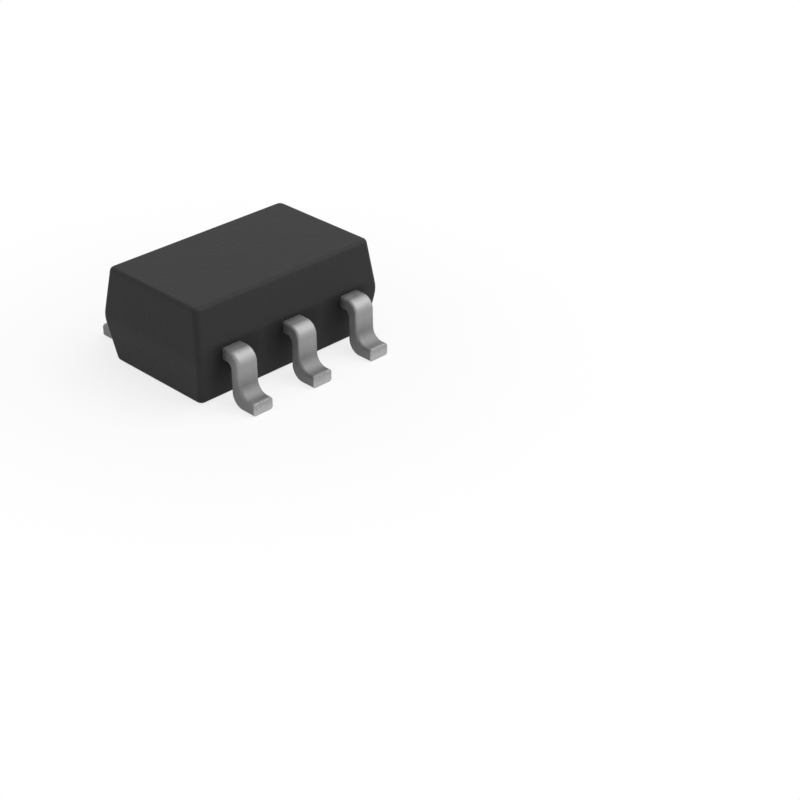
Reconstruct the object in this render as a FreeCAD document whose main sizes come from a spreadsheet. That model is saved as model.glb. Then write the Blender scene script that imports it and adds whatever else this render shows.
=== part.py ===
# A microcontroller chip in a six-lead moulded package with gull-wing leads.
#
# The origin is the centre of the plane that the feet stand on. X runs along the body, Z is up.
# Leads 1 to 3 leave the side that faces -Y, from -X to +X. Leads 4 to 6 leave the +Y side, from +X to -X.
# All lengths are millimetres and all angles are degrees.

import FreeCAD, Part
import math
import os
import Sketcher

SIZES = {
    # The moulded body. Its length and width are taken across the rounded parting edge.
    "body_length": 2.902,
    "body_width": 1.829,
    "body_top": 1.278,
    "standoff": 0.01,
    "parting_height": 0.612,
    "parting_radius": 0.6,
    "end_draft_upper": 5.7,
    "end_draft_lower": 7.5,
    "side_draft_upper": 9.3,
    "side_draft_lower": 11.0,
    "corner_radius": 0.08,
    "rim_radius": 0.05,
    # The strip that the leads are stamped from, and the gull-wing bend that all six share.
    "lead_pitch": 0.95,
    "lead_width": 0.3,
    "strip_thickness": 0.165,
    "frame_top": 0.715,
    "lead_span": 2.876,
    "toe_length": 0.232,
    "leg_lean": 1.5,
    "shoulder_radius": 0.16,
    "armpit_radius": 0.07,
    "instep_radius": 0.155,
    "heel_radius": 0.172,
    "edge_roll_depth": 0.025,
    "root_depth": 0.14,
    # The stamped fingers inside the body, measured from the package's centre lines.
    "finger_tip": 0.17,
    "finger_flare": 0.42,
    "flare_start": 0.52,
    "tee_width": 0.6,
    "tee_tip": 0.57,
    "tee_depth": 0.16,
    "paddle_length": 1.24,
    "paddle_width": 0.9,
    "lock_hole": 0.1,
    "lock_hole_inset": 0.08,
    # The silicon, its adhesive and the bond wires.
    "die_length": 1.0,
    "die_width": 0.75,
    "die_thickness": 0.18,
    "attach_thickness": 0.02,
    "pad_inset": 0.09,
    "pad_row_width": 0.48,
    "wire_diameter": 0.025,
    "ball_diameter": 0.07,
    "ball_height": 0.02,
    "stitch_diameter": 0.06,
    "stitch_height": 0.018,
    "stitch_inset": 0.07,
    "wire_rise": 0.07,
    "crest_run": 0.07,
    "loop_height": 0.1,
    "wire_end_height": 0.014,
}

doc = FreeCAD.newDocument("six_lead_chip")
sheet = doc.addObject("Spreadsheet::Sheet", "Sizes")
for row, (name, value) in enumerate(SIZES.items(), start=1):
    sheet.set(f"A{row}", name)
    sheet.set(f"B{row}", str(value))
    sheet.setAlias(f"B{row}", name)
doc.recompute()

HALF_LEAD = "Sizes.lead_width / 2"
HALF_SPAN = "Sizes.lead_span / 2"
FRAME_BOTTOM = "(Sizes.frame_top - Sizes.strip_thickness)"
ROOT = "(Sizes.body_width / 2 - Sizes.root_depth)"
LOCK_HOLE_PLACE = "(Sizes.body_width / 2 - Sizes.root_depth - Sizes.lock_hole_inset - Sizes.lock_hole / 2)"
DIE_TOP = "(Sizes.frame_top + Sizes.attach_thickness + Sizes.die_thickness)"
# The blank of the body is padded this wide, and the outline that trims its sides reaches past that.
BLANK_WIDTH = "Sizes.body_width * 1.5"
TRIM_REACH = "Sizes.body_width"
# Two places nearer to each other than this are the same place.
SAME = 1e-4
# Two volumes within this share of each other are the same volume.
SAME_SHARE = 0.01


def size(name):
    """A value of the sheet."""
    return float(sheet.get(name))


def bind(item, expressions):
    """Tie properties of one object to expressions on the sheet."""
    for place, expression in expressions.items():
        item.setExpression(place, expression)


def new_body(label):
    body = doc.addObject("PartDesign::Body", label)
    body.Label = label
    return body


def new_sketch(body, plane, name, height="0"):
    """A sketch on one of the body's own origin planes, lifted off it by a bound height."""
    sketch = body.newObject("Sketcher::SketchObject", name)
    support = next(f for f in body.Origin.OriginFeatures if f.Role == plane)
    sketch.AttachmentSupport = (support, "")
    sketch.MapMode = "FlatFace"
    bind(sketch, {"AttachmentOffset.Base.z": height})
    return sketch


def value_of(expression):
    """What an expression gives now, used only as a starting place for a sketch's solver."""
    return float(sheet.evalExpression(expression))


def pin(sketch, geometry, point, across=None, up=None):
    """Hold one point of a sketch at bound distances from the sketch's own axes."""
    for kind, expression in (("DistanceX", across), ("DistanceY", up)):
        if expression is None:
            continue
        index = sketch.addConstraint(
            Sketcher.Constraint(kind, -1, 1, geometry, point, value_of(expression))
        )
        sketch.setExpression(f"Constraints[{index}]", expression)


def measure(sketch, kind, *where, expression):
    """Add a constraint of one kind whose value is bound to an expression."""
    value = value_of(expression)
    index = sketch.addConstraint(Sketcher.Constraint(kind, *where, value))
    sketch.setExpression(f"Constraints[{index}]", expression)


def slope(sketch, line, expression):
    """Hold the direction of a line, in degrees anticlockwise from the sketch's first axis."""
    index = sketch.addConstraint(
        Sketcher.Constraint("Angle", line, math.radians(value_of(expression)))
    )
    sketch.setExpression(f"Constraints[{index}]", f"({expression}) * 1 deg")


def add_outline(sketch, corners):
    """A closed outline of straight lines through corners, each an (across, up) pair of expressions."""
    points = [FreeCAD.Vector(value_of(a), value_of(u), 0) for a, u in corners]
    lines = []
    for k, start in enumerate(points):
        end = points[(k + 1) % len(points)]
        lines.append(sketch.addGeometry(Part.LineSegment(start, end), False))
    for k, line in enumerate(lines):
        sketch.addConstraint(Sketcher.Constraint("Coincident", line, 1, lines[k - 1], 2))
        pin(sketch, line, 1, *corners[k])


def add_circle(sketch, across, up, diameter):
    centre = FreeCAD.Vector(value_of(across), value_of(up), 0)
    radius = value_of(f"{diameter} / 2")
    circle = sketch.addGeometry(Part.Circle(centre, FreeCAD.Vector(0, 0, 1), radius), False)
    pin(sketch, circle, 3, across, up)
    measure(sketch, "Diameter", circle, expression=diameter)


def add_bent_outline(sketch, corners):
    """A closed outline of lines whose corners may be rounded.

    Each corner is (across, up, bend): where the sharp corner would be, as plain values that only start the
    solver, and the expression for its bend radius or None. Returns the lines, the one at index k running
    from corner k to the next, and the arcs by corner.
    """
    count = len(corners)
    points = [FreeCAD.Vector(across, up, 0) for across, up, bend in corners]
    entries, exits, arcs, turns_left = [], [], {}, {}
    for k, (across, up, bend) in enumerate(corners):
        here = points[k]
        back = (points[k - 1] - here).normalize()
        ahead = (points[(k + 1) % count] - here).normalize()
        if bend is None:
            entries.append(here)
            exits.append(here)
            continue
        radius = value_of(bend)
        half_angle = back.getAngle(ahead) / 2
        centre = here + (back + ahead).normalize() * (radius / math.sin(half_angle))
        entries.append(here + back * (radius / math.tan(half_angle)))
        exits.append(here + ahead * (radius / math.tan(half_angle)))
        turns_left[k] = ahead.cross(back).z > 0
        arcs[k] = add_arc(sketch, centre, radius, entries[k], exits[k], turns_left[k])
    lines = []
    for k in range(count):
        lines.append(sketch.addGeometry(Part.LineSegment(exits[k], entries[(k + 1) % count]), False))
    for k in range(count):
        if k not in arcs:
            sketch.addConstraint(Sketcher.Constraint("Coincident", lines[k - 1], 2, lines[k], 1))
            continue
        entry, leave = (1, 2) if turns_left[k] else (2, 1)
        sketch.addConstraint(Sketcher.Constraint("Tangent", lines[k - 1], 2, arcs[k], entry))
        sketch.addConstraint(Sketcher.Constraint("Tangent", arcs[k], leave, lines[k], 1))
        measure(sketch, "Radius", arcs[k], expression=corners[k][2])
    return lines, arcs


def add_arc(sketch, centre, radius, entry, leave, turns_left):
    """An arc from entry to leave. A sketch keeps arcs anticlockwise, so a right turn is laid backwards."""
    first, last = (entry, leave) if turns_left else (leave, entry)
    first_angle = math.atan2(first.y - centre.y, first.x - centre.x)
    last_angle = math.atan2(last.y - centre.y, last.x - centre.x)
    if last_angle < first_angle:
        last_angle += 2 * math.pi
    circle = Part.Circle(centre, FreeCAD.Vector(0, 0, 1), radius)
    return sketch.addGeometry(Part.ArcOfCircle(circle, first_angle, last_angle), False)


def add_pad(body, name, sketch, length, symmetric=False):
    pad = body.newObject("PartDesign::Pad", name)
    pad.Profile = sketch
    pad.SideType = "Symmetric" if symmetric else "One side"
    bind(pad, {"Length": length})


def dress_edges(body, kind, name, setting, amount, keep_edge):
    """Round or break the edges of the body's present shape that keep_edge picks."""
    doc.recompute()
    base = body.Tip
    chosen = [f"Edge{k}" for k, edge in enumerate(base.Shape.Edges, start=1) if keep_edge(edge)]
    feature = body.newObject(kind, name)
    feature.Base = (base, chosen)
    bind(feature, {setting: amount})


def climbs(edge):
    """True for an edge whose two ends lie at different heights."""
    return abs(edge.Vertexes[0].Z - edge.Vertexes[-1].Z) > SAME


def lies_on_rim(edge):
    """True for an edge of the body's top or bottom face."""
    box = edge.BoundBox
    level = box.ZLength < SAME
    return level and any(abs(box.ZMin - size(rim)) < SAME for rim in ("body_top", "standoff"))


def draw_walls(sketch, length, draft_upper, draft_lower):
    """The body's outline seen from one side: drafted walls that meet in a softly rounded parting edge."""
    half = value_of(f"{length} / 2")
    top, bottom, parting = size("body_top"), size("standoff"), size("parting_height")
    half_top = half - (top - parting) * math.tan(math.radians(value_of(draft_upper)))
    half_bottom = half - (parting - bottom) * math.tan(math.radians(value_of(draft_lower)))
    bend = "Sizes.parting_radius"
    lines, arcs = add_bent_outline(sketch, [
        (-half_top, top, None),
        (half_top, top, None),
        (half, parting, bend),
        (half_bottom, bottom, None),
        (-half_bottom, bottom, None),
        (-half, parting, bend),
    ])
    top_line, right_upper, right_lower, bottom_line, left_lower, left_upper = lines
    sketch.addConstraint(Sketcher.Constraint("Horizontal", top_line))
    sketch.addConstraint(Sketcher.Constraint("Horizontal", bottom_line))
    pin(sketch, top_line, 1, up="Sizes.body_top")
    pin(sketch, bottom_line, 1, up="Sizes.standoff")
    pin(sketch, arcs[2], 3, f"{length} / 2 - {bend}", "Sizes.parting_height")
    pin(sketch, arcs[5], 3, f"{bend} - {length} / 2", "Sizes.parting_height")
    slope(sketch, right_upper, f"{draft_upper} - 90")
    slope(sketch, right_lower, f"-90 - {draft_lower}")
    slope(sketch, left_lower, f"90 + {draft_lower}")
    slope(sketch, left_upper, f"90 - {draft_upper}")


def make_moulding():
    """The outside of the epoxy body, still solid: end walls padded across, then the side walls trimmed."""
    body = new_body("moulding_blank")
    ends = new_sketch(body, "XZ_Plane", "end_walls")
    draw_walls(ends, "Sizes.body_length", "Sizes.end_draft_upper", "Sizes.end_draft_lower")
    add_pad(body, "blank", ends, BLANK_WIDTH, symmetric=True)
    doc.recompute()
    untrimmed = body.Tip.Shape.Volume
    sides = new_sketch(body, "YZ_Plane", "side_walls")
    draw_walls(sides, "Sizes.body_width", "Sizes.side_draft_upper", "Sizes.side_draft_lower")
    add_outline(sides, [
        (f"-{TRIM_REACH}", f"-{TRIM_REACH}"),
        (TRIM_REACH, f"-{TRIM_REACH}"),
        (TRIM_REACH, f"Sizes.body_top + {TRIM_REACH}"),
        (f"-{TRIM_REACH}", f"Sizes.body_top + {TRIM_REACH}"),
    ])
    trim = body.newObject("PartDesign::Pocket", "side_trim")
    trim.Profile = sides
    trim.Type = "ThroughAll"
    trim.SideType = "Symmetric"
    doc.recompute()
    if trim.Shape.Volume > untrimmed * (1 - SAME_SHARE):
        raise RuntimeError("the side walls were not trimmed")
    dress_edges(body, "PartDesign::Fillet", "corner_rounds", "Radius", "Sizes.corner_radius", climbs)
    dress_edges(body, "PartDesign::Fillet", "rim_rounds", "Radius", "Sizes.rim_radius", lies_on_rim)
    return body


def add_gull_wing(body):
    """The bent outside of a lead, leading out along +Y: shoulder, leg, heel and flat foot."""
    profile = new_sketch(body, "YZ_Plane", "gull_wing")
    root, tip = value_of(ROOT), value_of(HALF_SPAN)
    top, bottom, thick = size("frame_top"), value_of(FRAME_BOTTOM), size("strip_thickness")
    leg = value_of(f"{HALF_SPAN} - Sizes.toe_length")
    lines, arcs = add_bent_outline(profile, [
        (root, top, None),
        (leg, top, "Sizes.shoulder_radius"),
        (leg, thick, "Sizes.instep_radius"),
        (tip, thick, None),
        (tip, 0, None),
        (leg - thick, 0, "Sizes.heel_radius"),
        (leg - thick, bottom, "Sizes.armpit_radius"),
        (root, bottom, None),
    ])
    shoulder, leg_front, foot_top, foot_end, sole, leg_back, armpit, root_end = lines
    for line in (shoulder, foot_top, sole, armpit):
        profile.addConstraint(Sketcher.Constraint("Horizontal", line))
    pin(profile, shoulder, 1, ROOT, "Sizes.frame_top")
    pin(profile, foot_end, 1, HALF_SPAN, "Sizes.strip_thickness")
    pin(profile, sole, 1, HALF_SPAN, "0")
    pin(profile, root_end, 1, ROOT, FRAME_BOTTOM)
    pin(profile, leg_front, 2, across=f"{HALF_SPAN} - Sizes.toe_length")
    slope(profile, leg_front, "Sizes.leg_lean - 90")
    profile.addConstraint(Sketcher.Constraint("Parallel", leg_front, leg_back))
    measure(profile, "Distance", leg_back, 1, leg_front, expression="Sizes.strip_thickness")
    add_pad(body, "bent_strip", profile, "Sizes.lead_width", symmetric=True)
    dress_edges(body, "PartDesign::Chamfer", "rolled_edges", "Size", "Sizes.edge_roll_depth", is_rolled_edge)


def is_rolled_edge(edge):
    """The punch rolls the edges of the strip's upper face, from the shoulder to the end of the foot."""
    box = edge.BoundBox
    if box.XLength > SAME:
        return False
    if abs(box.YMin - value_of(HALF_SPAN)) < SAME or abs(box.YMax - value_of(ROOT)) < SAME:
        return False
    leg_middle = value_of(f"{HALF_SPAN} - Sizes.toe_length") - size("strip_thickness") / 2
    instep = value_of("Sizes.strip_thickness / 2")
    shoulder = size("frame_top") - size("strip_thickness") / 2
    middle = edge.valueAt((edge.FirstParameter + edge.LastParameter) / 2)
    return middle.z > shoulder or (middle.y > leg_middle and middle.z > instep)


def make_lead(number, slot, side, inner_end):
    """One lead of the stamped frame. slot counts pitches from the middle and side is 1 for +Y, -1 for -Y.

    inner_end draws the finger inside the body. It is told which way is outward, 1 or -1 along the sketch's
    own X, and 0 for a middle lead, whose finger is the same on both sides.
    """
    body = new_body(f"lead_{number}")
    add_gull_wing(body)
    finger = new_sketch(body, "XY_Plane", "inner_finger", FRAME_BOTTOM)
    inner_end(finger, slot * side)
    add_pad(body, "finger", finger, "Sizes.strip_thickness")
    bind(body, {"Placement.Base.x": f"{slot} * Sizes.lead_pitch"})
    if side < 0:
        body.Placement.Rotation = FreeCAD.Rotation(FreeCAD.Vector(0, 0, 1), 180)
    return body


def corner_finger(sketch, outward):
    """A finger beside the paddle, flared outward so that a wire can land on it and the epoxy holds it."""
    inner, outer = f"-{outward} * {HALF_LEAD}", f"{outward} * {HALF_LEAD}"
    flare = f"{outward} * (Sizes.finger_flare - {HALF_LEAD})"
    add_outline(sketch, [
        (inner, ROOT),
        (inner, "Sizes.finger_tip"),
        (flare, "Sizes.finger_tip"),
        (flare, "Sizes.flare_start"),
        (outer, "Sizes.flare_start"),
        (outer, ROOT),
    ])
    add_circle(sketch, "0", LOCK_HOLE_PLACE, "Sizes.lock_hole")


def tee_finger(sketch, outward):
    """The far middle lead ends in a tee that lies along the paddle's edge."""
    half, arm = HALF_LEAD, "Sizes.tee_width / 2"
    shoulder = "(Sizes.tee_tip + Sizes.tee_depth)"
    add_outline(sketch, [
        (half, ROOT),
        (half, shoulder),
        (arm, shoulder),
        (arm, "Sizes.tee_tip"),
        (f"-{arm}", "Sizes.tee_tip"),
        (f"-{arm}", shoulder),
        (f"-{half}", shoulder),
        (f"-{half}", ROOT),
    ])


def paddle_finger(sketch, outward):
    """The near middle lead runs on as the paddle that carries the silicon."""
    half, arm, edge = HALF_LEAD, "Sizes.paddle_length / 2", "Sizes.paddle_width / 2"
    add_outline(sketch, [
        (half, ROOT),
        (half, edge),
        (arm, edge),
        (arm, f"-{edge}"),
        (f"-{arm}", f"-{edge}"),
        (f"-{arm}", edge),
        (f"-{half}", edge),
        (f"-{half}", ROOT),
    ])
    add_circle(sketch, "0", LOCK_HOLE_PLACE, "Sizes.lock_hole")


def make_slab(label, length, width, thickness, bottom):
    """A flat block centred on the Z axis."""
    slab = doc.addObject("Part::Box", label)
    slab.Label = label
    bind(slab, {
        "Length": length,
        "Width": width,
        "Height": thickness,
        "Placement.Base.x": f"-{length} / 2",
        "Placement.Base.y": f"-{width} / 2",
        "Placement.Base.z": bottom,
    })
    return slab


def add_disc(body, name, diameter, height, across="0", up="0"):
    """A round button of metal, standing on its own place along the body's X and Z."""
    disc = body.newObject("PartDesign::AdditiveCylinder", name)
    bind(disc, {
        "Radius": f"{diameter} / 2",
        "Height": height,
        "Placement.Base.x": across,
        "Placement.Base.z": up,
    })


def make_wire(number, pad, stitch):
    """A gold bond wire, in one piece with its ball on the silicon and its stitch on the lead.

    pad and stitch are where its two ends land, as (x, y) expressions. It is drawn running along its own X
    from the pad: straight up off the ball, over a short crest between two kinks, and straight down to the
    stitch. Then it is turned and moved to its place.
    """
    body = new_body(f"bond_wire_{number}")
    run_x, run_y = f"({stitch[0]} - {pad[0]})", f"({stitch[1]} - {pad[1]})"
    span = f"hypot({run_x}; {run_y})"
    drop = "(Sizes.die_thickness + Sizes.attach_thickness)"
    add_disc(body, "ball", "Sizes.ball_diameter", "Sizes.ball_height")

    section = new_sketch(body, "XY_Plane", "wire_section")
    add_circle(section, "0", "0", "Sizes.wire_diameter")
    route = new_sketch(body, "XZ_Plane", "wire_route")
    stops = [
        ("0", "0"),
        ("0", "Sizes.wire_rise"),
        ("Sizes.crest_run", "Sizes.loop_height"),
        (span, f"Sizes.wire_end_height - {drop}"),
    ]
    add_open_line(route, stops)
    doc.recompute()
    loop = body.newObject("PartDesign::AdditivePipe", "loop")
    loop.Profile = section
    loop.Spine = (route, ["Edge1", "Edge2", "Edge3"])
    loop.Transition = "Right corner"
    doc.recompute()
    check_loop(loop, stops)
    add_disc(body, "stitch", "Sizes.stitch_diameter", "Sizes.stitch_height", span, f"-{drop}")

    body.Placement.Rotation = FreeCAD.Rotation(FreeCAD.Vector(0, 0, 1), 90)
    bind(body, {
        "Placement.Base.x": pad[0],
        "Placement.Base.y": pad[1],
        "Placement.Base.z": DIE_TOP,
        "Placement.Rotation.Angle": f"atan2({run_y}; {run_x})",
    })
    return body


def add_open_line(sketch, stops):
    """Straight runs from stop to stop, each stop an (across, up) pair of expressions."""
    points = [FreeCAD.Vector(value_of(a), value_of(u), 0) for a, u in stops]
    lines = [
        sketch.addGeometry(Part.LineSegment(start, end), False)
        for start, end in zip(points, points[1:])
    ]
    pin(sketch, lines[0], 1, *stops[0])
    for k, line in enumerate(lines):
        if k:
            sketch.addConstraint(Sketcher.Constraint("Coincident", lines[k - 1], 2, line, 1))
        pin(sketch, line, 2, *stops[k + 1])


def check_loop(loop, stops):
    """A mitred wire holds exactly its section times its length, besides the ball that it starts in."""
    points = [FreeCAD.Vector(value_of(a), 0, value_of(u)) for a, u in stops]
    length = sum(start.distanceToPoint(end) for start, end in zip(points, points[1:]))
    section = math.pi * size("wire_diameter") ** 2 / 4
    ball = math.pi * size("ball_diameter") ** 2 / 4 * size("ball_height")
    expected = ball + section * (length - size("ball_height"))
    if abs(loop.Shape.Volume - expected) > SAME_SHARE * expected:
        raise RuntimeError("a bond wire was not swept along its whole route")


def make_wires():
    """Six wires: four from the silicon's ends to the corner fingers, and one to each middle lead."""
    pad_x = "(Sizes.die_length / 2 - Sizes.pad_inset)"
    pad_y = "(Sizes.die_width / 2 - Sizes.pad_inset)"
    finger_x = f"(Sizes.lead_pitch - {HALF_LEAD} + Sizes.stitch_inset)"
    finger_y = "((Sizes.finger_tip + Sizes.flare_start) / 2)"
    tongue_y = "(Sizes.paddle_width / 2 + Sizes.stitch_inset)"
    tee_y = "(Sizes.tee_tip + Sizes.stitch_inset)"
    wires = []
    for number, x_sign, y_sign in ((1, -1, -1), (3, 1, -1), (4, 1, 1), (6, -1, 1)):
        pad = (f"({x_sign} * {pad_x})", f"({y_sign} * Sizes.pad_row_width / 2)")
        stitch = (f"({x_sign} * {finger_x})", f"({y_sign} * {finger_y})")
        wires.append(make_wire(number, pad, stitch))
    wires.append(make_wire(2, ("0", f"(-1 * {pad_y})"), ("0", f"(-1 * {tongue_y})")))
    wires.append(make_wire(5, ("0", pad_y), ("0", tee_y)))
    return wires


leads = [
    make_lead(1, -1, -1, corner_finger),
    make_lead(2, 0, -1, paddle_finger),
    make_lead(3, 1, -1, corner_finger),
    make_lead(4, 1, 1, corner_finger),
    make_lead(5, 0, 1, tee_finger),
    make_lead(6, -1, 1, corner_finger),
]
attach = make_slab("die_attach", "Sizes.die_length", "Sizes.die_width", "Sizes.attach_thickness",
                   "Sizes.frame_top")
silicon = make_slab("silicon_die", "Sizes.die_length", "Sizes.die_width", "Sizes.die_thickness",
                    "Sizes.frame_top + Sizes.attach_thickness")
wires = make_wires()
blank = make_moulding()

# The epoxy sets round the finished assembly, so its inside is the shape of everything that it holds.
held = doc.addObject("Part::MultiFuse", "held_inside")
held.Shapes = leads + [attach, silicon] + wires
moulded = doc.addObject("Part::Cut", "moulded_body")
moulded.Label = "moulded_body"
moulded.Base = blank
moulded.Tool = held
doc.recompute()

for item in doc.Objects:
    if "Invalid" in item.State or "Error" in item.State:
        raise RuntimeError(f"{item.Label} failed: {item.State}")

subparts = [moulded, attach, silicon] + leads + wires
os.makedirs("parts", exist_ok=True)
for item in subparts:
    shape = item.Shape
    if shape.isNull() or not shape.isValid() or len(shape.Solids) != 1:
        raise RuntimeError(f"{item.Label} is not one sound solid")
for item in subparts:
    item.Shape.exportStep(f"parts/{item.Label}.step")
    print(f"{item.Label}: {item.Shape.Volume:.5f} cubic mm")
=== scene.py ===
# %% [markdown]
# This lesson dresses a microcontroller chip that is barely three millimetres long. The construction is
# already fixed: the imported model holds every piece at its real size, inside the moulded body too. Blender
# adds what the eye looks for, which is true curves, soft edges and the finish of each material. The packed
# model is loaded first, because every piece made here is fitted to it.

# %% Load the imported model
import math

import bmesh
import bpy
from mathutils import Matrix, Vector


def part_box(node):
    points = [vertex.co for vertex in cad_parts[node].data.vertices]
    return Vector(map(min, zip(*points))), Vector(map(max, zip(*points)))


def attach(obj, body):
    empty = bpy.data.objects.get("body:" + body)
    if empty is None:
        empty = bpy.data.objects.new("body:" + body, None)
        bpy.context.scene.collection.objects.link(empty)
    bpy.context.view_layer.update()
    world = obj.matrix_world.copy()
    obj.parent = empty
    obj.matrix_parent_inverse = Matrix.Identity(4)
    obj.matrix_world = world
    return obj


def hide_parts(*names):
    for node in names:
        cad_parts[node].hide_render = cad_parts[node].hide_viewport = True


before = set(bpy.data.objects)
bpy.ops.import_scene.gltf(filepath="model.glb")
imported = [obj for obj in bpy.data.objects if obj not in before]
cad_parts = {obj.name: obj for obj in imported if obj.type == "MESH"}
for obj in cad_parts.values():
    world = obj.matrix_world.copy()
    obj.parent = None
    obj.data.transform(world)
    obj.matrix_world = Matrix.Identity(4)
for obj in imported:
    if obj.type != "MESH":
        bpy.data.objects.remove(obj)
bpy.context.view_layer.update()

print("nodes:", ", ".join(sorted(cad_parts)))

# %% [markdown]
# Blender counts in metres, and a chip this small would be all zeros. So every size below is written in
# millimetres, each piece is made in millimetres, and its finished mesh is scaled down once. Making it at
# that size also keeps bevels and cuts away from the tiny distances at which they lose precision. Whatever
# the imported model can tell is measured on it. The rest is written out by name.

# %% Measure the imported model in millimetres
MM = 0.001


def box_mm(node):
    """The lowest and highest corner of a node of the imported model, in millimetres."""
    low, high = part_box(node)
    return low / MM, high / MM


body_low, body_high = box_mm("moulded_body")
corner_low, corner_high = box_mm("lead_4")
_, paddle_high = box_mm("lead_2")
tee_low, tee_high = box_mm("lead_5")
_, die_high = box_mm("silicon_die")
print(f"body {body_high.x * 2:.3f} x {body_high.y * 2:.3f} mm, {body_high.z:.3f} mm high")
print(f"{corner_high.y * 2:.3f} mm across the feet, silicon's face at {die_high.z:.3f} mm")

STRIP_THICKNESS = 0.165
LEAD_WIDTH = 0.3
LEAD_PITCH = corner_low.x + LEAD_WIDTH / 2
print(f"leads at a pitch of {LEAD_PITCH:.3f} mm")

# %% [markdown]
# The camera stands where the photographer's stood. It is a long lens, eight body lengths away, so the
# chip's edges stay nearly parallel, but not quite. The place and the three turns below were found by
# matching the straight edges of the body and the corners of the feet, so the render can be laid over the
# photograph. Depth of field stays off: the whole chip is sharp.

# %% Set up the camera
FRAME_SIDE = 800
FOCAL_PIXELS = 1805.8
SENSOR_WIDTH = 36.0
CAMERA_PLACE = (-12.8367, -15.3709, 10.6822)
CAMERA_HEADING = 45.464
CAMERA_TILT_DOWN = 29.907
CAMERA_ROLL = 0.347
NEAREST_SEEN = 0.5
FARTHEST_SEEN = 2000.0


def add_camera():
    camera = bpy.data.cameras.new("camera")
    camera.sensor_width = SENSOR_WIDTH
    camera.lens = FOCAL_PIXELS * SENSOR_WIDTH / FRAME_SIDE
    camera.clip_start = NEAREST_SEEN * MM
    camera.clip_end = FARTHEST_SEEN * MM
    holder = bpy.data.objects.new("camera", camera)
    heading = Matrix.Rotation(math.radians(-CAMERA_HEADING), 4, "Z")
    tilt = Matrix.Rotation(math.radians(90 - CAMERA_TILT_DOWN), 4, "X")
    roll = Matrix.Rotation(math.radians(CAMERA_ROLL), 4, "Z")
    holder.matrix_world = Matrix.Translation(Vector(CAMERA_PLACE) * MM) @ heading @ tilt @ roll
    bpy.context.scene.collection.objects.link(holder)
    bpy.context.scene.camera = holder
    return camera


print(f"lens {add_camera().lens:.1f} mm")

# %% [markdown]
# Materials and shapes below are both written as trees of nodes. Adding every Math node by hand hides a
# simple sum behind a dozen lines, so one small class wraps a node's output and lets it be added and
# multiplied like a number. Each operator adds the Math node that does it. A second class adds any other
# node: it is told the node's type, its settings, and what goes into each socket.

# %% A short way to write node trees
class Value:
    """One output of a node, which can be used in a sum as a number is."""

    def __init__(self, tree, socket):
        self.tree = tree
        self.socket = socket

    def math(self, operation, *operands, clamp=False):
        settings = {"operation": operation, "use_clamp": clamp}
        return Nodes(self.tree).add("ShaderNodeMath", settings, dict(enumerate(operands)))

    def other(self, name):
        """Another output of the same node."""
        return Value(self.tree, self.socket.node.outputs[name])

    def __add__(self, other):
        return self.math("ADD", self, other)

    def __radd__(self, other):
        return self.math("ADD", other, self)

    def __sub__(self, other):
        return self.math("SUBTRACT", self, other)

    def __rsub__(self, other):
        return self.math("SUBTRACT", other, self)

    def __mul__(self, other):
        return self.math("MULTIPLY", self, other)

    def __rmul__(self, other):
        return self.math("MULTIPLY", other, self)

    def __truediv__(self, other):
        return self.math("DIVIDE", self, other)


class Nodes:
    """Adds nodes of any type to one tree."""

    def __init__(self, tree):
        self.tree = tree

    def add(self, kind, settings, inputs, output=0):
        """Add a node. Its settings are set first, and an input is a number, a Value or a list of Values."""
        node = self.tree.nodes.new(kind)
        for name, setting in settings.items():
            setattr(node, name, setting)
        for key, given in inputs.items():
            for source in given if isinstance(given, list) else [given]:
                if isinstance(source, Value):
                    self.tree.links.new(source.socket, node.inputs[key])
                else:
                    node.inputs[key].default_value = source
        return Value(self.tree, node.outputs[output]) if node.outputs else None


trial = bpy.data.node_groups.new("trial", "ShaderNodeTree")
level = Nodes(trial).add("ShaderNodeValue", {}, {})
last = (1 - 2 * level).socket.node
print(f"1 - 2 * level added {len(trial.nodes) - 1} Math nodes, the last of which does {last.operation}")
bpy.data.node_groups.remove(trial)

# %% [markdown]
# Colours can't go through Math nodes, which would turn them grey, so mixing two of them gets a helper of
# its own. Every pattern is laid out in the piece's own space, in millimetres, so that a number such as 40
# simply means forty grains to the millimetre.

# %% Helpers for materials
COLOUR_FACTOR, COLOUR_A, COLOUR_B, COLOUR_RESULT = 0, 6, 7, 2


def grey(level):
    return (level, level, level, 1.0)


def mix_colours(nodes, share, first, second):
    """A colour that goes from the first to the second as share goes from 0 to 1."""
    inputs = {COLOUR_FACTOR: share, COLOUR_A: first, COLOUR_B: second}
    return nodes.add("ShaderNodeMix", {"data_type": "RGBA"}, inputs, COLOUR_RESULT)


def place_in_mm(nodes, stretch=(1.0, 1.0, 1.0)):
    """Where a point lies on the chip, in millimetres, with each axis stretched by a factor."""
    here = nodes.add("ShaderNodeTexCoord", {}, {}, "Object")
    scale = tuple(factor / MM for factor in stretch)
    return nodes.add("ShaderNodeMapping", {}, {"Vector": here, "Scale": scale})


def noise(nodes, place, per_mm, detail=2.0):
    """Soft random values round 0.5, with about per_mm blobs to the millimetre."""
    inputs = {"Vector": place, "Scale": per_mm, "Detail": detail}
    return nodes.add("ShaderNodeTexNoise", {}, inputs)


def cells(nodes, place, per_mm, output):
    """A mosaic with about per_mm cells to the millimetre."""
    return nodes.add("ShaderNodeTexVoronoi", {}, {"Vector": place, "Scale": per_mm}, output)


def between(nodes, value, low, high):
    """0 below low, 1 above high, and a soft rise from one to the other."""
    inputs = {"Value": value, "From Min": low, "From Max": high}
    return nodes.add("ShaderNodeMapRange", {"interpolation_type": "SMOOTHSTEP"}, inputs)


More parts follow.
